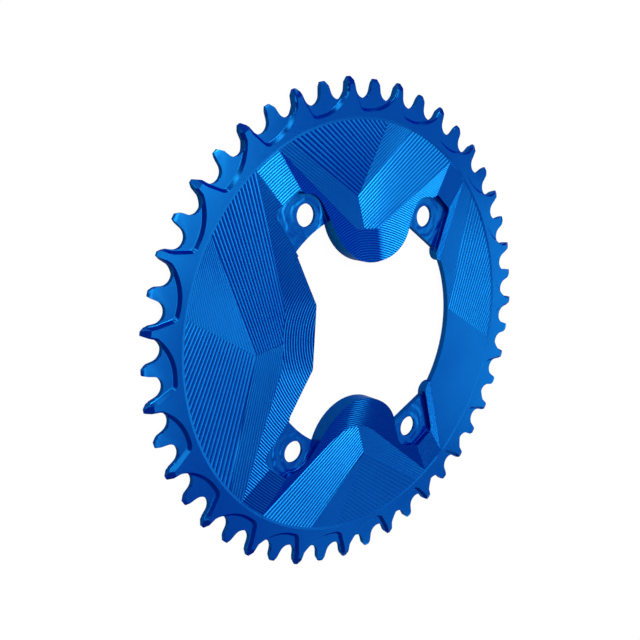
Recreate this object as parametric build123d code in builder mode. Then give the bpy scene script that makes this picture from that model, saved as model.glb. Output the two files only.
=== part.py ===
"""Bicycle chainring: 46 narrow-wide teeth, a sculpted front and four bolt tabs.

One piece, machined from aluminium plate. +Z points out of the front face and +Y runs between
two bolt holes. Heights are measured from the middle plane of the teeth, then the finished
part moves down so that the origin lies on the ring's axis in the front plane of the bolt tabs.
"""
import os
from math import cos, pi, radians, sin, tan

from build123d import *

# Chain and teeth
tooth_count = 46
chain_pitch = 12.7
seat_radius = 3.95           # roller seat between two teeth
seat_lag = 0.35              # seats sit this far behind the middle of the gap
wide_tip_height = 3.97       # above the pitch circle
narrow_tip_height = 3.33
flank_rise = 5.1             # from a seat's deepest point to the start of the tip rounding
lead_flank_angle = 15.0      # steep side of a tooth, from the radius
trail_flank_angle = 16.0
lead_tip_angle = 20.0        # the same two sides beside the tip
trail_tip_angle = 38.0
tip_half_thickness = 0.45
wide_bevel_length = 3.0      # radial length of the bevel on a wide tooth
narrow_bevel_length = 1.4

# Rim
rim_width = 7.8              # from the tooth roots to the sculpted web
rim_bevel_width = 0.9
rim_front = 2.15             # height of the rim's front face
rim_back = 2.1               # depth of the rim's back face
back_step_width = 1.6        # slope from the rim's back to the web's back

# Relief on both sides of each narrow tooth
narrow_half_thickness = 0.95
relief_depth = 4.0           # floor, below the tooth roots, at its deepest
relief_lead = 4.2            # from the tooth's middle to the deepest point
relief_arc = 18.0
relief_corner = 6.8          # from the tooth's middle to the steep corner
relief_corner_round = 2.0
relief_wall_angle = 42.0
ridge_foot = 2.4             # half of a wide tooth's width, at the foot of its sides
ridge_tip = 0.9

# Web: flat petals, ramps and arms
petal_height = 1.95
web_back = 0.5
arm_angle = 52.0             # of the four arms, from the X axis
arm_half_angle = 4.3         # half of an arm's width
arm_slope = 7.8
side_petal_reach = 39.0      # from the axis to a side petal's inner edge
side_petal_edge = 23.6       # length of that edge
side_ramp_slope = 18.3
lobe_reach = 40.0            # from the axis to a lobe's inner edge
lobe_edge = 12.0             # length of that edge
lobe_front_slope = 16.5
lobe_flank_slope = 21.0
ramp_rise = 5.5

# Opening in the middle
nose_reach = 27.3
nose_radius = 21.9
tongue_reach = 27.4
tongue_edge = 24.8
tongue_flank_angle = 27.3    # of the tongue's slanted edges, from the Y axis
tongue_round = 2.0
tab_margin = 7.5             # from the bolt circle to the tabs' inner edges
crank_gap_radius = 51.4      # wider part of the opening, where the crank arm passes
crank_tab_angle = 59.15      # direction that the straight tab edges beside it face
lump_radius = 4.6
lump_x = 43.5
lump_y = 31.0

# Bolt tabs
bolt_circle = 110.0
bolt_angle = 55.0            # of the four bolts, from the X axis
bolt_hole_radius = 4.3
bolt_seat_radius = 6.5
bolt_seat_depth = 1.2
tab_front = 1.9
pocket_outer = 10.2          # from a bolt's axis to the pocket's outer wall
pocket_wall_end = 1.0         # the outer wall runs this far past the bolt's radius
pocket_nose_radius = 8.0     # of the pocket's round side, about the bolt
pocket_mouth_side = 7.3      # the same side, where the pocket opens to the middle
pocket_tongue_side = 12.2
pocket_tongue_round = 4.0
crank_strip_width = 5.7      # ramp left between a side petal and the pocket beside it
pocket_crank_round = 2.5

# Worked out from the sizes above
pitch_radius = chain_pitch / 2 / sin(pi / tooth_count)
root_radius = pitch_radius - seat_radius
wide_tip_radius = pitch_radius + wide_tip_height
narrow_tip_radius = pitch_radius + narrow_tip_height
web_radius = root_radius - rim_width
bolt_radius = bolt_circle / 2
tab_radius = bolt_radius - tab_margin
narrow_count = tooth_count // 2
tooth_angle = 360 / tooth_count
outside = wide_tip_radius + seat_radius


def polar(radius, angle):
    """Point at a radius and an angle in degrees."""
    return (radius * cos(radians(angle)), radius * sin(radians(angle)))


def tooth_gap():
    """Gap between two teeth, along +X: a roller seat and two flanks that open outwards."""
    lead = radians(lead_flank_angle)
    trail = radians(trail_flank_angle)
    shoulder = root_radius + flank_rise
    lead_seat = (pitch_radius - seat_radius * sin(lead), -seat_lag - seat_radius * cos(lead))
    trail_seat = (pitch_radius - seat_radius * sin(trail), -seat_lag + seat_radius * cos(trail))
    lead_shoulder = (shoulder, lead_seat[1] - (shoulder - lead_seat[0]) * tan(lead))
    trail_shoulder = (shoulder, trail_seat[1] + (shoulder - trail_seat[0]) * tan(trail))
    lead_end = (outside, lead_shoulder[1] - (outside - shoulder) * tan(radians(lead_tip_angle)))
    trail_end = (outside, trail_shoulder[1] + (outside - shoulder) * tan(radians(trail_tip_angle)))
    with BuildSketch() as gap:
        with BuildLine():
            ThreePointArc(lead_seat, (root_radius, -seat_lag), trail_seat)
            Polyline(trail_seat, trail_shoulder, trail_end, lead_end, lead_shoulder, lead_seat)
        make_face()
    return gap.sketch


def relief_cutter():
    """Tool for the front relief of the narrow tooth on +X, with the bevel of its tip."""
    floor = root_radius - relief_depth
    foot = root_radius + seat_radius * 0.6
    foot_half = radians(tooth_angle) * foot - ridge_foot
    end_half = radians(tooth_angle) * outside - ridge_tip
    start = -tooth_angle / 2
    sector = Plane((0, 0, 0), x_dir=(*polar(1, start), 0), z_dir=(*polar(1, start - 90), 0))
    with BuildPart() as cutter:
        with BuildSketch(Plane.XY.offset(narrow_half_thickness)) as outline:
            with BuildLine():
                trail = Line((outside, -end_half), (foot, -foot_half))
                bottom = RadiusArc(trail @ 1, (floor, relief_lead), relief_arc)
                Polyline(bottom @ 1, (floor, relief_corner), (foot, foot_half), (outside, end_half), trail @ 0)
            make_face()
            corner = outline.vertices().filter_by_position(Axis.Y, relief_corner - 0.01, relief_corner + 0.01)
            fillet(corner, relief_corner_round)
        extrude(amount=(rim_front - narrow_half_thickness) * 1.5, taper=-relief_wall_angle)
        with BuildSketch(sector):
            Polygon((narrow_tip_radius - narrow_bevel_length, narrow_half_thickness),
                    (narrow_tip_radius, tip_half_thickness), (narrow_tip_radius, 0), (outside, 0),
                    (outside, narrow_half_thickness), align=None)
        revolve(axis=Axis.Z, revolution_arc=tooth_angle)
    return cutter.part


def rim():
    """Toothed rim: a turned ring with a bevelled edge, then gaps and reliefs cut into it."""
    gap = tooth_gap()
    relief = relief_cutter()
    with BuildPart() as ring:
        with BuildSketch(Plane.XZ):
            Polygon((web_radius, -web_back), (web_radius, petal_height), (web_radius + rim_bevel_width, rim_front),
                    (wide_tip_radius - wide_bevel_length, rim_front), (wide_tip_radius, tip_half_thickness),
                    (wide_tip_radius, -tip_half_thickness), (wide_tip_radius - wide_bevel_length, -rim_back),
                    (web_radius, -rim_back), (web_radius - back_step_width, -web_back), align=None)
        revolve(axis=Axis.Z)
        with BuildSketch(Plane.XY.offset(-outside)):
            with PolarLocations(0, tooth_count, start_angle=90 + tooth_angle / 2):
                add(gap)
        extrude(amount=2 * outside, mode=Mode.SUBTRACT)
        with PolarLocations(0, narrow_count, start_angle=90):
            add(relief, mode=Mode.SUBTRACT)
            add(mirror(relief, about=Plane.XY, mode=Mode.PRIVATE), mode=Mode.SUBTRACT)
    return ring.part


def lobe_outline(front, flank):
    """Outline of the top lobe, its inner edge moved in by front and its two flanks by flank."""
    half = lobe_edge / 2
    corner_x, corner_y = polar(web_radius, arm_angle + arm_half_angle)
    run = Vector(corner_x - half, corner_y - lobe_reach).normalized()
    moved_x = half + run.Y * flank
    moved_y = lobe_reach - run.X * flank
    inner_y = lobe_reach - front
    inner_x = moved_x + (inner_y - moved_y) * run.X / run.Y
    outer_x = moved_x + (outside - moved_y) * run.X / run.Y
    return [(-inner_x, inner_y), (inner_x, inner_y), (outer_x, outside), (-outer_x, outside)]


def side_outline(offset):
    """Outline of the petal on +X, its inner edge and two flanks moved out by offset."""
    half = side_petal_edge / 2
    corner_x, corner_y = polar(web_radius, arm_angle - arm_half_angle)
    run = Vector(corner_x - side_petal_reach, corner_y - half).normalized()
    moved_x = side_petal_reach - run.Y * offset
    moved_y = half + run.X * offset
    inner_x = side_petal_reach - offset
    inner_y = moved_y + (inner_x - moved_x) * run.Y / run.X
    outer_y = moved_y + (outside - moved_x) * run.Y / run.X
    return [(inner_x, inner_y), (inner_x, -inner_y), (outside, -outer_y), (outside, outer_y)]


def petal_cutter(lower, upper):
    """Tool with a flat bottom and sloping sides, between two outlines."""
    with BuildPart() as cutter:
        with BuildSketch(Plane.XY.offset(petal_height)):
            Polygon(*lower, align=None)
        with BuildSketch(Plane.XY.offset(petal_height + ramp_rise)):
            Polygon(*upper, align=None)
        loft(ruled=True)
    return cutter.part


def bolt_point(angle, turn, along, across):
    """Point seen from a bolt: outwards from the axis, and across towards the side petal."""
    x, y = polar(bolt_radius + along, angle)
    dx, dy = polar(across, angle + 90 * turn)
    return (x + dx, y + dy)


def pocket(angle, turn, side_points, corner_round):
    """Pocket floor round a bolt: open to the middle, an outer wall, a wall beside the nose."""
    inner = -0.6 * bolt_radius
    centre = bolt_point(angle, turn, 0, 0)
    points = [*side_points,
              bolt_point(angle, turn, pocket_outer, -pocket_wall_end),
              bolt_point(angle, turn, 0, -pocket_nose_radius),
              bolt_point(angle, turn, -tab_margin, -pocket_mouth_side),
              bolt_point(angle, turn, -3 * tab_margin, -pocket_mouth_side / 2),
              bolt_point(angle, turn, inner, -pocket_mouth_side / 2)]
    with BuildSketch() as floor:
        Polygon(*points, align=None)
        fillet(floor.vertices().sort_by_distance(side_points[1])[0], corner_round)
        with Locations(centre):
            Circle(pocket_nose_radius)
    return floor.sketch


def tongue_pocket():
    """Pocket on the left, its side wall parallel to the bolt's radius."""
    angle = 180 - bolt_angle
    side = [bolt_point(angle, 1, -0.6 * bolt_radius, pocket_tongue_side),
            bolt_point(angle, 1, pocket_outer, pocket_tongue_side)]
    return pocket(angle, 1, side, pocket_tongue_round)


def crank_pocket():
    """Pocket on the right, its side wall parallel to the side petal's edge."""
    near, _, _, far = side_outline(crank_strip_width)
    run = Vector(far[0] - near[0], far[1] - near[1]).normalized()
    radial = Vector(*polar(1, bolt_angle))
    reach = (bolt_radius + pocket_outer - Vector(*near).dot(radial)) / run.dot(radial)
    corner = (near[0] + run.X * reach, near[1] + run.Y * reach)
    return pocket(bolt_angle, -1, [near, corner], pocket_crank_round)


def opening():
    """Opening in the middle: round, wider where the crank arm passes, with noses and a tongue."""
    tab_x, tab_y = polar(tab_radius, crank_tab_angle)
    run_x, run_y = polar(crank_gap_radius, crank_tab_angle - 90)
    half = tongue_edge / 2
    back = tongue_reach + tab_radius
    spread = half + tab_radius / tan(radians(tongue_flank_angle))
    with BuildSketch() as crank_gap:
        Polygon((0, 0), (tab_x, tab_y), (tab_x + run_x, tab_y + run_y), (tab_x + run_x, -tab_y - run_y),
                (tab_x, -tab_y), align=None)
        Circle(crank_gap_radius, mode=Mode.INTERSECT)
    with BuildSketch() as outline:
        Circle(tab_radius)
        add(crank_gap.sketch)
        with Locations((lump_x, lump_y), (lump_x, -lump_y)):
            Circle(lump_radius, mode=Mode.SUBTRACT)
        with Locations((0, nose_reach + nose_radius), (0, -nose_reach - nose_radius)):
            Circle(nose_radius, mode=Mode.SUBTRACT)
        with BuildSketch(mode=Mode.SUBTRACT) as tongue:
            Polygon((-tongue_reach, half), (-back, spread), (-back, -spread), (-tongue_reach, -half), align=None)
            tips = tongue.vertices().group_by(Axis.X)[-1]
            fillet(tips, tongue_round)
    return outline.sketch


def web():
    """Sculpted web: petals and arms cut into a plate, then pockets, the opening and the holes."""
    front_run = ramp_rise / tan(radians(lobe_front_slope))
    flank_run = ramp_rise / tan(radians(lobe_flank_slope))
    side_run = ramp_rise / tan(radians(side_ramp_slope))
    lobe = petal_cutter(lobe_outline(0, 0), lobe_outline(front_run, flank_run))
    side = petal_cutter(side_outline(0), side_outline(side_run))
    arm_foot = web_radius * cos(radians(arm_half_angle))
    with BuildPart() as plate:
        with BuildSketch(Plane.XY.offset(-web_back)):
            Circle(web_radius)
        extrude(amount=web_back + petal_height + ramp_rise)
        with PolarLocations(0, 2):
            add(lobe, mode=Mode.SUBTRACT)
            add(side, mode=Mode.SUBTRACT)
        for angle in (arm_angle, 180 - arm_angle, 180 + arm_angle, -arm_angle):
            x, y = polar(arm_foot, angle)
            tilt_x, tilt_y = polar(sin(radians(arm_slope)), angle)
            slope = Plane((x, y, petal_height), x_dir=(*polar(1, angle + 90), 0),
                          z_dir=(tilt_x, tilt_y, cos(radians(arm_slope))))
            with BuildSketch(slope):
                Rectangle(2 * outside, 2 * outside)
            extrude(amount=4 * ramp_rise, mode=Mode.SUBTRACT)
        with BuildSketch(Plane.XY.offset(tab_front)):
            add(tongue_pocket())
            add(crank_pocket())
            mirror(about=Plane.XZ)
        extrude(amount=2 * ramp_rise, mode=Mode.SUBTRACT)
        with BuildSketch(Plane.XY.offset(-outside)):
            add(opening())
        extrude(amount=2 * outside, mode=Mode.SUBTRACT)
        bolts = [polar(bolt_radius, a) for a in (bolt_angle, 180 - bolt_angle, 180 + bolt_angle, -bolt_angle)]
        with BuildSketch(Plane.XY.offset(-outside)):
            with Locations(*bolts):
                Circle(bolt_hole_radius)
        extrude(amount=2 * outside, mode=Mode.SUBTRACT)
        with BuildSketch(Plane.XY.offset(-web_back)):
            with Locations(*bolts):
                Circle(bolt_seat_radius)
        extrude(amount=bolt_seat_depth, mode=Mode.SUBTRACT)
    return plate.part


with BuildPart() as chainring:
    with Locations((0, 0, -tab_front)):
        add(web())
        add(rim())
chainring.part.label = "chainring"

os.makedirs("parts", exist_ok=True)
export_step(chainring.part, "parts/chainring.step")
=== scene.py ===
"""A blue anodised bicycle chainring lying flat on its back under soft studio light."""

import math

import bmesh
import bpy
import numpy as np
from mathutils import Matrix, Vector


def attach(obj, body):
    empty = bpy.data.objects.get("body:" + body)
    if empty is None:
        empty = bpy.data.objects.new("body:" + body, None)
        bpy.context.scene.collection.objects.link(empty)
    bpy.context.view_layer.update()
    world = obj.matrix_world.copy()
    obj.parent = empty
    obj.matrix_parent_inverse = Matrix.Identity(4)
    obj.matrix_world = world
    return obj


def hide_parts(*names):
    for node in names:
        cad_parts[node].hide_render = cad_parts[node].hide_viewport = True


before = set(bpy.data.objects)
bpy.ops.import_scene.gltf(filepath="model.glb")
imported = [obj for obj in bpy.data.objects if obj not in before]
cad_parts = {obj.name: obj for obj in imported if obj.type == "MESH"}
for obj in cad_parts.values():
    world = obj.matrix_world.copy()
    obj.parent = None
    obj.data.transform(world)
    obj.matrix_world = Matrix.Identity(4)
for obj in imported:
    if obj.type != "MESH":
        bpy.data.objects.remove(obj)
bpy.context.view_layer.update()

MM = 0.001

# Sizes of the machined part, in millimetres; heights are measured from the middle plane of the teeth,
# which lies below the frame's origin by the height of the tabs
tab_front = 1.9
petal_height = 1.95
relief_height = 0.95
rest_height = -2.1
web_radius = 81.3
bolt_x = 31.55
bolt_y = 45.05

# Rounding that the solid leaves out
relief_fillet = 0.9
corner_round = 0.8
corner_angle = math.radians(25)
pocket_fillet = 0.5
edge_break = 0.2

# Limits on the upward part of a face's normal, to tell kinds of faces apart
level_rise = 0.999
ramp_rise = (0.9, 0.998)
relief_rise = (0.5, 0.85)
front_rise = 0.5
wall_rise = 0.25

# Slack for finding faces by height and radius, and sizes below which corners and edges are merged
height_slack = 0.01
radius_slack = 0.05
weld = 0.002
sliver = 0.001
flat_angle = math.radians(0.3)

# Sharpest turns, in degrees, that are shaded smooth: on upright walls, on banked walls, beside level faces
# and elsewhere; upward parts of the normals that count as upright, banked and level for this
wall_turn = 32
bank_turn = 24
level_turn = 7
other_turn = 13
upright_rise = 0.3
bank_rise = (0.4, 0.93)
near_level_rise = 0.99

# Slope that parts the ramps from the flatter arms, and ratio of y to x that parts the petals
arm_slope = 0.2
petal_ratio = 1.1

# Tool passes, named by the slope of their sides at the cusps
bold = 0.5
ramp_slope = 0.36
fine = 0.34
light = 0.26
faint = 0.12
hairline = 0.05
trace = 0.02

# Facets across one pass, spacing of the passes on the ramps, and angle of one sector of their rings
facets = 6
ramp_pitch = 0.955
sector_angle = math.radians(2.0)

# Width of the rounded creases between ramps, how far ramps run on below the petals, and depth of the walls
# that close the passes' ends
crease_blend = 0.12
round_blend = 0.5
edge_overlap = 0.35
edge_skirt = 0.3

# Painted highlight and shade along a pass: the part painted lighter, and the pass depth from which it is
# full
crest = -1
bottom = 1
full_depth = 0.06

# The four petals, as (upright, turned round)
upper = (True, False)
lower = (True, True)
left = (False, False)
right = (False, True)

# Passes of the petals' zones: start as a share of the pitch, slope and painted light and shade
petal_passes = {
    upper: (
        (-0.13, bold, bottom),
        (0.0, faint, 3 * crest),
        (-0.13, fine, crest),
        (0.49, bold, crest),
    ),
    lower: (
        (-0.12, hairline, 3 * crest),
        (0.0, faint, crest),
        (0.13, trace, crest),
        (-0.09, bold, crest),
    ),
    left: (
        (-0.36, fine, bottom),
        (0.09, bold, bottom),
        (-0.46, bold, bottom),
        (0.0, faint, 2 * crest),
    ),
    right: (
        (-0.33, trace, crest),
        (-0.07, trace, crest),
        (0.08, light, crest),
        (0.0, faint, crest),
    ),
}

# Passes of the ramps and arms: slope and painted light and shade
ramp_passes = {
    upper: (ramp_slope, 2.2 * bottom),
    lower: (light, 0.3 * bottom),
    left: (ramp_slope, 1.4 * bottom),
    right: (ramp_slope, bottom),
}
arm_passes = (ramp_slope, crest)

# Cutter marks on the floors of the tabs, in millimetres; heights of the marks and the grain in bump units
swirl_pitch = 4.0
swirl_wander = 9.0
swirl_height = 6.0
grain_height = 0.04
bump_unit = 0.01

# Noise of the finish: scale and detail
drift_noise = (90.0, 2.0)
cloud_noise = (60.0, 3.0)
grain_noise = (900.0, 4.0)

# Colours of the finish, its roughness and how much the painted light and shade of a pass changes them
sheen_deep = (0.004, 0.137, 0.345, 1)
sheen_pale = (0.004, 0.158, 0.385, 1)
deep_below = 0.3
pale_above = 0.7
sheen_edge = (0.5, 0.75, 1, 1)
sheen_share = 0.5
dye_colour = (0.0, 0.008, 0.34)
dye_roughness = 0.7
least_roughness = 0.15
rough_spread = 0.07
painted_shading_contrast = 0.36

# Floor: size in metres, gap below the ring in millimetres, finish, and its glow with the share of it
# in direct view and in mirrored view
floor_size = 16.0
floor_gap = 0.05
floor_grey = (0.5, 0.5, 0.5, 1)
floor_roughness = 0.9
floor_gloss = 0.1
floor_glow = 1.04
seen_share = 0.93
mirrored_share = 0.15

# Lamps on a wide dome: place and size as seen from above, as shares of its radius, and power
lamp_distance = 3.0
sky_level = 0.12
lamps = (
    ("key", (0.22, 0.4), (0.16, 0.48), 1.25),
    ("sky", (0.3, 0.24), (0.64, 0.8), 0.8),
    ("middle", (0.27, 0.08), (0.56, 0.16), 0.38),
    ("front", (0.3, -0.2), (0.32, 0.4), 0.42),
    ("right", (0.86, -0.16), (0.16, 0.32), 0.2),
    ("edge", (0.94, -0.2), (0.085, 0.245), 0.32),
    ("side", (0.7, -0.32), (0.16, 0.64), 0.11),
    ("gap", (0.7, -0.08), (0.16, 0.16), 0.03),
    ("low", (0.7, -0.56), (0.16, 0.16), 0.17),
    ("strip", (0.54, -0.48), (0.16, 0.64), 0.05),
    ("back", (-0.19, 0.95), (0.245, 0.08), 0.3),
    ("left", (-0.57, 0.76), (0.2, 0.16), 0.2),
    ("wall", (-0.45, 0.65), (0.45, 0.35), 0.6),
    ("tips", (-0.22, 0.32), (0.25, 0.3), 0.2),
    ("tip_edge", (-0.44, 0.2), (0.2, 0.25), 0.15),
    ("upper", (0.76, 0.1), (0.24, 0.18), 0.04),
    ("far", (0.93, 0.2), (0.08, 0.2), 0.03),
    ("low_right", (0.86, -0.4), (0.12, 0.16), 0.03),
)

# Camera of the photo: focal length and picture width in its pixels, axes, and place in metres
focal_length = 833.782
picture_width = 640
sensor_width = 36.0
nearest_seen = 0.01
farthest_seen = 20.0
camera_right = Vector((0.7603545, 0.0563104, 0.6470627))
camera_up = Vector((0.0747587, 0.9820261, -0.1733084))
camera_back = Vector((-0.6451915, 0.1801494, 0.7424783))
camera_place = Vector((-0.225856, 0.062562, 0.234646))


def clip(polygon, a, b, c):
    """The part of a convex polygon where a x + b y <= c."""
    kept = []
    for first, second in zip(polygon, polygon[1:] + polygon[:1]):
        d_first = a * first[0] + b * first[1] - c
        d_second = a * second[0] + b * second[1] - c
        if d_first <= 0:
            kept.append(first)
        if (d_first < 0 < d_second) or (d_second < 0 < d_first):
            t = d_first / (d_first - d_second)
            kept.append((first[0] + t * (second[0] - first[0]), first[1] + t * (second[1] - first[1])))
    return kept


def left_of(polygon, start, end):
    """The part of a polygon on the left of the line from start to end."""
    a = end[1] - start[1]
    b = start[0] - end[0]
    return clip(polygon, a, b, a * start[0] + b * start[1])


def right_of(polygon, start, end):
    """The part of a polygon on the right of the line from start to end."""
    return left_of(polygon, end, start)


def scallop(phase):
    """Depth of a tool pass at a phase, nought at the cusps between passes and 1 at the bottom."""
    across = 2 * (phase - math.floor(phase)) - 1
    return 1 - across * across


class Surface:
    """Faces gathered as corner lists in millimetres, with the painted light and shade at each corner."""

    def __init__(self):
        self.points = []
        self.painted_shadings = []
        self.faces = []

    def add(self, corners, painted_shadings):
        start = len(self.points)
        self.points.extend(corners)
        self.painted_shadings.extend(painted_shadings)
        self.faces.append(list(range(start, start + len(corners))))


class Fan:
    """Straight passes that spread from a far point; pitch is their spacing at the centre."""

    def __init__(self, source, centre, pitch, shift):
        self.source = source
        x = centre[0] - source[0]
        y = centre[1] - source[1]
        self.start = math.atan2(y, x)
        self.count = math.hypot(x, y) / pitch
        self.shift = shift

    def phase(self, x, y):
        turn = math.atan2(y - self.source[1], x - self.source[0]) - self.start
        return math.remainder(turn, math.tau) * self.count + self.shift

    def line(self, value):
        """Half-plane a x + b y <= c in which the phase is at most value."""
        angle = self.start + (value - self.shift) / self.count
        a = -math.sin(angle)
        b = math.cos(angle)
        return a, b, a * self.source[0] + b * self.source[1]


class Rings:
    """Passes concentric with the ring, drawn as chords within one sector."""

    def __init__(self, start, end):
        middle = (start + end) / 2
        stretch = math.cos((end - start) / 2)
        self.a = math.cos(middle) / stretch
        self.b = math.sin(middle) / stretch

    def phase(self, x, y):
        return (self.a * x + self.b * y) / ramp_pitch

    def line(self, value):
        """Half-plane a x + b y <= c in which the phase is at most value."""
        return self.a, self.b, value * ramp_pitch


def pass_depth(slope, pitch):
    """Depth of a scalloped pass whose sides have this slope at the cusps."""
    return slope * pitch / 4


def cut_passes(surface, polygon, passes, depth, height, painted_shading):
    """Covers a polygon with tool passes; height gives the uncut surface, the last argument the painted
    shading.
    """
    if len(polygon) < 3:
        return
    # Painted light and shade: colour made lighter or darker across each pass, in full from full_depth on
    contrast = painted_shading * min(depth / full_depth, 1)
    values = [passes.phase(x, y) for x, y in polygon]
    low = math.floor(min(values) * facets)
    high = math.ceil(max(values) * facets)
    rest = polygon
    for step in range(low + 1, high + 1):
        a, b, c = passes.line(step / facets)
        piece = clip(rest, a, b, c)
        rest = clip(rest, -a, -b, -c)
        if len(piece) > 2:
            cuts = [scallop(passes.phase(x, y)) for x, y in piece]
            corners = [(x, y, height(x, y) - depth * cut) for (x, y), cut in zip(piece, cuts)]
            surface.add(corners, [(cut - 0.5) * contrast for cut in cuts])
        if len(rest) < 3:
            return


def cut_rings(surface, polygon, height, slope, painted_shading):
    """Covers a polygon on a slope with tool passes concentric with the ring."""
    centre = np.mean(polygon, axis=0)
    middle = math.atan2(centre[1], centre[0])
    turns = [math.remainder(math.atan2(y, x) - middle, math.tau) + middle for x, y in polygon]
    first = math.floor(min(turns) / sector_angle)
    last = math.ceil(max(turns) / sector_angle)
    for sector in range(first, last):
        start = sector * sector_angle
        end = start + sector_angle
        part = clip(polygon, math.sin(start), -math.cos(start), 0)
        part = clip(part, -math.sin(end), math.cos(end), 0)
        cut_passes(surface, part, Rings(start, end), pass_depth(slope, ramp_pitch), height, painted_shading)


def zone(polygon, source, centre, pitch, cut):
    """One tool zone of a petal: polygon, fan of passes, their depth and painted light and shade."""
    start, slope, painted_shading = cut
    return polygon, Fan(source, centre, pitch, start), pass_depth(slope, pitch), painted_shading


def upper_zones(polygon, cuts):
    """Tool zones of the upper petal, with the passes of each."""
    apex = (-6.3, 52.4)
    rim = (6.9, 80.5)
    foot = (-1.8, 40.2)
    left_end = (-40.0, 70.5)
    right_end = (20.0, 78.0)
    far_right = (134.6, -26.1)
    far_left = (-107.0, -43.2)
    above = (62.6, 116.2)
    upper_left = right_of(left_of(polygon, apex, rim), apex, left_end)
    lower_left = left_of(left_of(polygon, apex, left_end), foot, apex)
    upper_right = left_of(right_of(polygon, apex, rim), apex, right_end)
    lower_right = right_of(right_of(polygon, apex, right_end), foot, apex)
    return [
        zone(upper_left, source=far_right, centre=(-13.61, 69.31), pitch=1.572, cut=cuts[0]),
        zone(lower_left, source=far_right, centre=(-20.56, 55.13), pitch=1.022, cut=cuts[1]),
        zone(upper_right, source=above, centre=(6.89, 70.59), pitch=1.067, cut=cuts[2]),
        zone(lower_right, source=far_left, centre=(16.73, 59.72), pitch=1.36, cut=cuts[3]),
    ]


def left_zones(polygon, cuts):
    """Tool zones of the left petal, with the passes of each."""
    apex = (-51.5, -5.2)
    rim = (-80.0, 9.6)
    foot = (-40.5, -2.5)
    high_end = (-72.0, 38.0)
    low_end = (-60.0, -53.0)
    above = (-21.1, 123.0)
    above_left = (-101.4, 112.1)
    below = (7.8, -126.1)
    outer = left_of(right_of(polygon, apex, rim), apex, high_end)
    inner = right_of(right_of(polygon, apex, high_end), foot, apex)
    lower_left = right_of(left_of(polygon, apex, rim), apex, low_end)
    lower_right = left_of(left_of(polygon, apex, low_end), foot, apex)
    return [
        zone(outer, source=above_left, centre=(-68.22, 14.65), pitch=0.86, cut=cuts[0]),
        zone(inner, source=below, centre=(-54.12, 25.47), pitch=1.292, cut=cuts[1]),
        zone(lower_left, source=above, centre=(-66.68, -18.38), pitch=1.631, cut=cuts[2]),
        zone(lower_right, source=above, centre=(-49.9, -26.77), pitch=1.048, cut=cuts[3]),
    ]


def read_node(name):
    """Corners and triangles of a node, in millimetres."""
    mesh = bpy.data.objects[name].data
    points = np.empty(len(mesh.vertices) * 3)
    mesh.vertices.foreach_get("co", points)
    points = points.reshape(-1, 3) / MM
    points[:, 2] += tab_front
    mesh.calc_loop_triangles()
    triangles = np.array([list(t.vertices) for t in mesh.loop_triangles])
    return points, triangles


class Faces:
    """The node's triangles, told apart as flat petals, sloping ramps and arms, and plain ones."""

    def __init__(self):
        points, triangles = read_node("chainring")
        self.corners = points[triangles]
        first, second, third = self.corners.transpose(1, 0, 2)
        cross = np.cross(second - first, third - first)
        self.spans = np.linalg.norm(cross, axis=1)
        self.normals = cross / np.maximum(self.spans, 1e-12)[:, None]
        self.middles = self.corners.mean(axis=1)
        rise = self.normals[:, 2]
        heights = self.corners[:, :, 2]
        reach = np.hypot(self.corners[:, :, 0], self.corners[:, :, 1]).max(axis=1)
        inside = reach < web_radius + radius_slack
        level = np.abs(heights - petal_height).max(axis=1) < height_slack
        raised = self.middles[:, 2] > petal_height
        flat = inside & (rise > level_rise) & level
        sloped = inside & (rise > ramp_rise[0]) & (rise < ramp_rise[1]) & raised
        self.flat = np.where(flat)[0]
        self.sloped = np.where(sloped)[0]
        self.plain = np.where(~flat & ~sloped)[0]

    def plane(self, index):
        """Slopes along x and y and the level at the axis of a triangle's plane."""
        corner = self.corners[index][0]
        normal = self.normals[index]
        a = -normal[0] / normal[2]
        b = -normal[1] / normal[2]
        return a, b, corner[2] - a * corner[0] - b * corner[1]

    def outline(self, index):
        """A triangle's corners as seen from above."""
        return [tuple(corner[:2]) for corner in self.corners[index]]


def height_on(plane):
    """The height of a plane at a place."""
    a, b, level = plane
    return lambda x, y: a * x + b * y + level


def petal_below(plane):
    """The petal that a ramp rises from; none for the arms between the ramps."""
    a, b, level = plane
    if math.hypot(a, b) < arm_slope:
        return None
    upright = bool(abs(b) > abs(a))
    return upright, bool(b > 0 if upright else a < 0)


def petal_at(x, y):
    """The petal at a place."""
    upright = bool(abs(y) > petal_ratio * abs(x))
    return upright, bool(y < 0 if upright else x > 0)


class Ramp:
    """The planes that rise round one petal, with rounded creases between them."""

    def __init__(self, blend):
        self.planes = {}
        self.blend = blend

    def add(self, plane):
        self.planes.setdefault((round(plane[0], 1), round(plane[1], 1)), plane)

    def height(self, x, y):
        levels = [a * x + b * y + level for a, b, level in self.planes.values()]
        top = max(levels)
        return top + self.blend * math.log(sum(math.exp((z - top) / self.blend) for z in levels))


def find_ramps(faces):
    """The ramps by petal, gathered from the largest faces first."""
    ramps = {petal: Ramp(round_blend if petal == lower else crease_blend) for petal in ramp_passes}
    for index in sorted(faces.sloped, key=lambda i: -faces.spans[i]):
        plane = faces.plane(index)
        petal = petal_below(plane)
        if petal:
            ramps[petal].add(plane)
    return ramps


def lift_edges(faces, ramps):
    """Plain faces with the corners that they share with the ramps set to the ramps' rounded height."""
    shared = {}
    for index in faces.sloped:
        petal = petal_below(faces.plane(index))
        if petal:
            for corner in faces.corners[index]:
                shared[tuple(np.round(corner, 3))] = ramps[petal].height(corner[0], corner[1])
    lifted = faces.corners[faces.plain]
    for face in lifted:
        for corner in face:
            corner[2] = shared.get(tuple(np.round(corner, 3)), corner[2])
    return lifted


def hang_skirt(surface, corners):
    """A short wall below a tooled face's edge on the rim, to close the ends of the passes."""
    foot = np.array((0, 0, edge_skirt))
    for start, end in zip(corners, np.roll(corners, -1, axis=0)):
        if min(math.hypot(*start[:2]), math.hypot(*end[:2])) > web_radius - radius_slack:
            surface.add([tuple(p) for p in (start, end, end - foot, start - foot)], [0.0] * 4)


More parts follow.
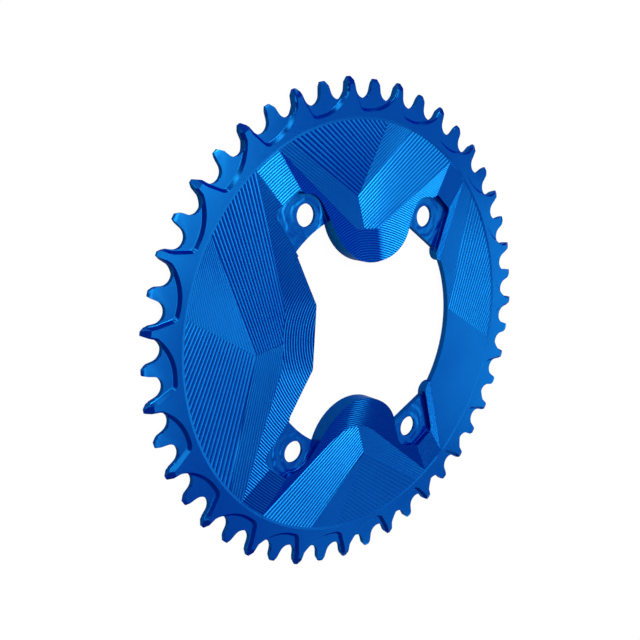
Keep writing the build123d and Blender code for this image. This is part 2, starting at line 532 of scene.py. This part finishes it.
def tool_slopes(surface, faces, ramps):
    """Adds the ramps and arms with their passes."""
    for index in faces.sloped:
        plane = faces.plane(index)
        petal = petal_below(plane)
        height = ramps[petal].height if petal else height_on(plane)
        slope, painted_shading = ramp_passes[petal] if petal else arm_passes
        cut_rings(surface, faces.outline(index), height, slope, painted_shading)
        hang_skirt(surface, faces.corners[index])


def tool_petals(surface, faces, ramps):
    """Adds the petals with their passes, and the feet of the ramps that run on below them."""
    level = height_on((0, 0, petal_height))
    for index in faces.flat:
        outline = faces.outline(index)
        petal = petal_at(*faces.middles[index][:2])
        upright, turned = petal
        turn = -1 if turned else 1
        shape = [(turn * x, turn * y) for x, y in outline]
        zones = upper_zones if upright else left_zones
        part = Surface()
        for polygon, passes, depth, painted_shading in zones(shape, petal_passes[petal]):
            cut_passes(part, polygon, passes, depth, level, painted_shading)
        for face in part.faces:
            corners = [part.points[i] for i in face]
            painted_shadings = [part.painted_shadings[i] for i in face]
            surface.add([(turn * x, turn * y, z) for x, y, z in corners], painted_shadings)
        hang_skirt(surface, faces.corners[index])
        ramp = ramps[petal]
        for a, b, offset in ramp.planes.values():
            border = clip(outline, -a, -b, offset - petal_height + edge_overlap)
            if len(border) > 2:
                cut_rings(surface, border, ramp.height, *ramp_passes[petal])


def fill(work, points, faces):
    """Adds faces, given as corner numbers, to a mesh."""
    verts = [work.verts.new(p) for p in points]
    for face in faces:
        work.faces.new([verts[i] for i in face])


def plain_body(triangles):
    """A mesh of the plain faces, with triangles of one plane joined."""
    work = bmesh.new()
    fill(work, triangles.reshape(-1, 3), np.arange(len(triangles) * 3).reshape(-1, 3))
    bmesh.ops.remove_doubles(work, verts=work.verts, dist=weld)
    bmesh.ops.dissolve_limit(work, angle_limit=flat_angle, verts=work.verts, edges=work.edges)
    work.normal_update()
    return work


def add_passes(work, surface):
    """Adds the tooled faces to a mesh, with the light and shade painted along the passes as an attribute.
    """
    passes = bmesh.new()
    fill(passes, surface.points, surface.faces)
    # The painted highlight and shade of each corner, kept for the material
    layer = passes.verts.layers.float.new("painted_shading")
    for vert, painted_shading in zip(passes.verts, surface.painted_shadings):
        vert[layer] = painted_shading
    bmesh.ops.remove_doubles(passes, verts=passes.verts, dist=weld)
    bmesh.ops.dissolve_degenerate(passes, edges=passes.edges, dist=sliver)
    mesh = bpy.data.meshes.new("passes")
    passes.to_mesh(mesh)
    passes.free()
    work.from_mesh(mesh)
    bpy.data.meshes.remove(mesh)


def edges_between(work, first, second, convex):
    """Edges whose two faces pass the two tests, on a ridge or in a hollow."""
    found = []
    for edge in work.edges:
        if len(edge.link_faces) == 2 and edge.is_convex == convex:
            one, two = edge.link_faces
            if (first(one) and second(two)) or (first(two) and second(one)):
                found.append(edge)
    return found


def at_height(face, height):
    """Whether a face is level and at a height."""
    return face.normal.z > level_rise and abs(face.calc_center_median().z - height) < height_slack


def soften(work):
    """Rounds the feet of the tooth reliefs and pockets, and breaks the front edges."""
    def relief_floor(face):
        return at_height(face, relief_height)

    def relief_wall(face):
        return relief_rise[0] < face.normal.z < relief_rise[1]

    def tab_floor(face):
        return at_height(face, tab_front) and face.calc_center_median().xy.length < web_radius

    def wall(face):
        return abs(face.normal.z) < wall_rise

    def front(face):
        return face.normal.z > front_rise

    def bevel(edges, offset, segments):
        bmesh.ops.bevel(work, geom=edges, affect="EDGES", offset=offset, offset_type="OFFSET",
                        segments=segments, profile=0.5, clamp_overlap=True)
        work.normal_update()

    corners = edges_between(work, relief_wall, relief_wall, False)
    bevel([edge for edge in corners if edge.calc_face_angle() > corner_angle], corner_round, segments=3)
    bevel(edges_between(work, relief_floor, relief_wall, False), relief_fillet, segments=4)
    bevel(edges_between(work, tab_floor, wall, False), pocket_fillet, segments=3)
    bevel(edges_between(work, front, wall, True), edge_break, segments=2)


def smooth_turn(first, second):
    """The sharpest turn in degrees that is shaded smooth between faces with these normals."""
    if abs(first.z) < upright_rise and abs(second.z) < upright_rise:
        return wall_turn
    if all(bank_rise[0] < normal.z < bank_rise[1] for normal in (first, second)):
        return bank_turn
    if max(first.z, second.z) > near_level_rise:
        return level_turn
    return other_turn


def mark_sharp(work):
    """Keeps round walls and the bottoms of the passes smooth, and all other edges crisp."""
    for face in work.faces:
        face.smooth = True
    for edge in work.edges:
        if len(edge.link_faces) == 2:
            first, second = [face.normal for face in edge.link_faces]
            edge.smooth = first.angle(second, 0) < math.radians(smooth_turn(first, second))
        else:
            edge.smooth = False


def mark_tabs(mesh):
    """Marks the floors of the bolt tabs, which lie at the frame's origin height, for their cutter marks."""
    marked = mesh.attributes.new("tab_floor", "FLOAT", "FACE")
    for face, value in zip(mesh.polygons, marked.data):
        on_floor = face.normal.z > level_rise and abs(face.center.z) < height_slack * MM
        value.value = 1.0 if on_floor and face.center.xy.length < web_radius * MM else 0.0


def build_body():
    """The ring with its fillets and tool passes, in place of the node."""
    faces = Faces()
    ramps = find_ramps(faces)
    work = plain_body(lift_edges(faces, ramps))
    soften(work)
    surface = Surface()
    tool_slopes(surface, faces, ramps)
    tool_petals(surface, faces, ramps)
    add_passes(work, surface)
    work.normal_update()
    mark_sharp(work)
    bmesh.ops.translate(work, verts=work.verts, vec=(0, 0, -tab_front))
    bmesh.ops.scale(work, verts=work.verts, vec=(MM, MM, MM))
    mesh = bpy.data.meshes.new("chainring_body")
    work.to_mesh(mesh)
    work.free()
    mark_tabs(mesh)
    body = bpy.data.objects.new("chainring_body", mesh)
    bpy.context.scene.collection.objects.link(body)
    even = body.modifiers.new("even_normals", "WEIGHTED_NORMAL")
    even.keep_sharp = True
    even.weight = 100
    return body


class Graph:
    """The nodes of one material."""

    def __init__(self, name):
        self.material = bpy.data.materials.new(name)
        self.material.use_nodes = True
        self.nodes = self.material.node_tree.nodes
        self.links = self.material.node_tree.links

    def feed(self, socket, value):
        """Links another node's output to a socket, or sets a plain value on it."""
        if isinstance(value, bpy.types.NodeSocket):
            self.links.new(value, socket)
        else:
            socket.default_value = value

    def operate(self, kind, operation, *values):
        """A node that does one sum on values or other nodes' outputs."""
        node = self.nodes.new(kind)
        node.operation = operation
        for socket, value in zip(node.inputs, values):
            self.feed(socket, value)
        return node

    def math(self, operation, *values):
        return self.operate("ShaderNodeMath", operation, *values).outputs["Value"]

    def scaled(self, colour, factor):
        node = self.operate("ShaderNodeVectorMath", "SCALE", colour)
        self.feed(node.inputs["Scale"], factor)
        return node.outputs["Vector"]

    def noise(self, place, scale, detail):
        node = self.nodes.new("ShaderNodeTexNoise")
        self.feed(node.inputs["Vector"], place)
        self.feed(node.inputs["Scale"], scale)
        self.feed(node.inputs["Detail"], detail)
        return node.outputs["Fac"]

    def attribute(self, name):
        node = self.nodes.new("ShaderNodeAttribute")
        node.attribute_name = name
        return node.outputs["Fac"]

    def show(self, share, first, second):
        """Shows a mix of two shaders; share is that of the second."""
        mix = self.nodes.new("ShaderNodeMixShader")
        self.feed(mix.inputs["Fac"], share)
        self.feed(mix.inputs[1], first)
        self.feed(mix.inputs[2], second)
        self.feed(self.nodes["Material Output"].inputs["Surface"], mix.outputs["Shader"])


def tab_swirls(graph, place, grain):
    """Grain everywhere, and wavy cutter marks round the bolts on the floors of the tabs."""
    bolt = (bolt_x * MM, bolt_y * MM, 0)
    quarter = graph.operate("ShaderNodeVectorMath", "ABSOLUTE", place).outputs["Vector"]
    distance = graph.operate("ShaderNodeVectorMath", "DISTANCE", quarter, bolt).outputs["Value"]
    wander = graph.math("MULTIPLY", graph.noise(place, *drift_noise), swirl_wander * MM)
    turns = graph.math("MULTIPLY", graph.math("ADD", distance, wander), math.tau / (swirl_pitch * MM))
    swirl = graph.math("MULTIPLY", graph.math("SINE", turns), graph.attribute("tab_floor"))
    return graph.math("MULTIPLY_ADD", swirl, swirl_height, graph.math("MULTIPLY", grain, grain_height))


def anodised():
    """Dyed oxide over machined metal: a deep blue body under a clear blue sheen, with light and shade
    painted along the passes.
    """
    graph = Graph("anodised_blue")
    place = graph.nodes.new("ShaderNodeTexCoord").outputs["Object"]
    # Painted highlight and shade along the tool passes, scaling the sheen's colour
    painted_shading = graph.math("MULTIPLY_ADD", graph.attribute("painted_shading"), painted_shading_contrast, 1.0)
    grain = graph.noise(place, *grain_noise)
    tint = graph.nodes.new("ShaderNodeValToRGB")
    deep, pale = tint.color_ramp.elements
    deep.position = deep_below
    deep.color = sheen_deep
    pale.position = pale_above
    pale.color = sheen_pale
    graph.feed(tint.inputs["Fac"], graph.noise(place, *cloud_noise))
    bump = graph.nodes.new("ShaderNodeBump")
    bump.inputs["Strength"].default_value = 1.0
    bump.inputs["Distance"].default_value = bump_unit * MM
    graph.feed(bump.inputs["Height"], tab_swirls(graph, place, grain))
    sheen = graph.nodes["Principled BSDF"]
    sheen.inputs["Metallic"].default_value = 1.0
    sheen.inputs["Specular Tint"].default_value = sheen_edge
    graph.feed(sheen.inputs["Base Color"], graph.scaled(tint.outputs["Color"], painted_shading))
    graph.feed(sheen.inputs["Roughness"], graph.math("MULTIPLY_ADD", grain, rough_spread, least_roughness))
    graph.feed(sheen.inputs["Normal"], bump.outputs["Normal"])
    dye = graph.nodes.new("ShaderNodeBsdfPrincipled")
    # The body's colour takes the same painted highlight and shade
    graph.feed(dye.inputs["Base Color"], graph.scaled(dye_colour, painted_shading))
    dye.inputs["Roughness"].default_value = dye_roughness
    dye.inputs["Specular IOR Level"].default_value = 0.0
    graph.show(sheen_share, dye.outputs["BSDF"], sheen.outputs["BSDF"])
    return graph.material


def floor():
    """A pale floor that looks white and still takes the ring's shadow."""
    height = (rest_height - tab_front - floor_gap) * MM
    bpy.ops.mesh.primitive_plane_add(size=floor_size, location=(0, 0, height))
    plane = bpy.context.object
    plane.name = "floor"
    graph = Graph("floor_white")
    matt = graph.nodes["Principled BSDF"]
    matt.inputs["Base Color"].default_value = floor_grey
    matt.inputs["Roughness"].default_value = floor_roughness
    matt.inputs["Specular IOR Level"].default_value = floor_gloss
    glow = graph.nodes.new("ShaderNodeEmission")
    glow.inputs["Strength"].default_value = floor_glow
    path = graph.nodes.new("ShaderNodeLightPath").outputs
    mirrored = graph.math("ADD", path["Is Glossy Ray"], path["Is Transmission Ray"])
    mirrored = graph.math("MULTIPLY", mirrored, mirrored_share)
    share = graph.math("MULTIPLY_ADD", path["Is Camera Ray"], seen_share, mirrored)
    graph.show(share, matt.outputs["BSDF"], glow.outputs["Emission"])
    plane.data.materials.append(graph.material)


def softbox(name, place, size, power):
    """A soft lamp on the dome, facing the ring."""
    x, y = place
    away = Vector((x, y, math.sqrt(1 - x * x - y * y)))
    light = bpy.data.lights.new(name, "AREA")
    light.shape = "RECTANGLE"
    light.size = size[0] / math.sqrt(1 - x * x) * lamp_distance
    light.size_y = size[1] / math.sqrt(1 - y * y) * lamp_distance
    light.energy = power * math.pi * lamp_distance ** 2
    lamp = bpy.data.objects.new(name, light)
    side = Vector((0, 1, 0)).cross(away).normalized()
    turn = Matrix((side, away.cross(side), away)).transposed()
    lamp.matrix_world = Matrix.Translation(away * lamp_distance) @ turn.to_4x4()
    bpy.context.scene.collection.objects.link(lamp)


def studio():
    """A dim even room and the lamps."""
    world = bpy.data.worlds.new("studio")
    bpy.context.scene.world = world
    world.use_nodes = True
    room = world.node_tree.nodes["Background"]
    room.inputs["Color"].default_value = (1, 1, 1, 1)
    room.inputs["Strength"].default_value = sky_level
    for lamp in lamps:
        softbox(*lamp)


def camera():
    """The photo's view."""
    lens = bpy.data.cameras.new("camera")
    lens.sensor_width = sensor_width
    lens.lens = focal_length / picture_width * sensor_width
    lens.clip_start = nearest_seen
    lens.clip_end = farthest_seen
    eye = bpy.data.objects.new("camera", lens)
    turn = Matrix((camera_right, camera_up, camera_back)).transposed()
    eye.matrix_world = Matrix.Translation(camera_place) @ turn.to_4x4()
    bpy.context.scene.collection.objects.link(eye)
    bpy.context.scene.camera = eye


body = build_body()
body.data.materials.append(anodised())
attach(body, "root")
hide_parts("chainring")
floor()
studio()
camera()
bpy.context.scene.view_settings.view_transform = "Standard"
bpy.context.scene.cycles.denoising_prefilter = "NONE"
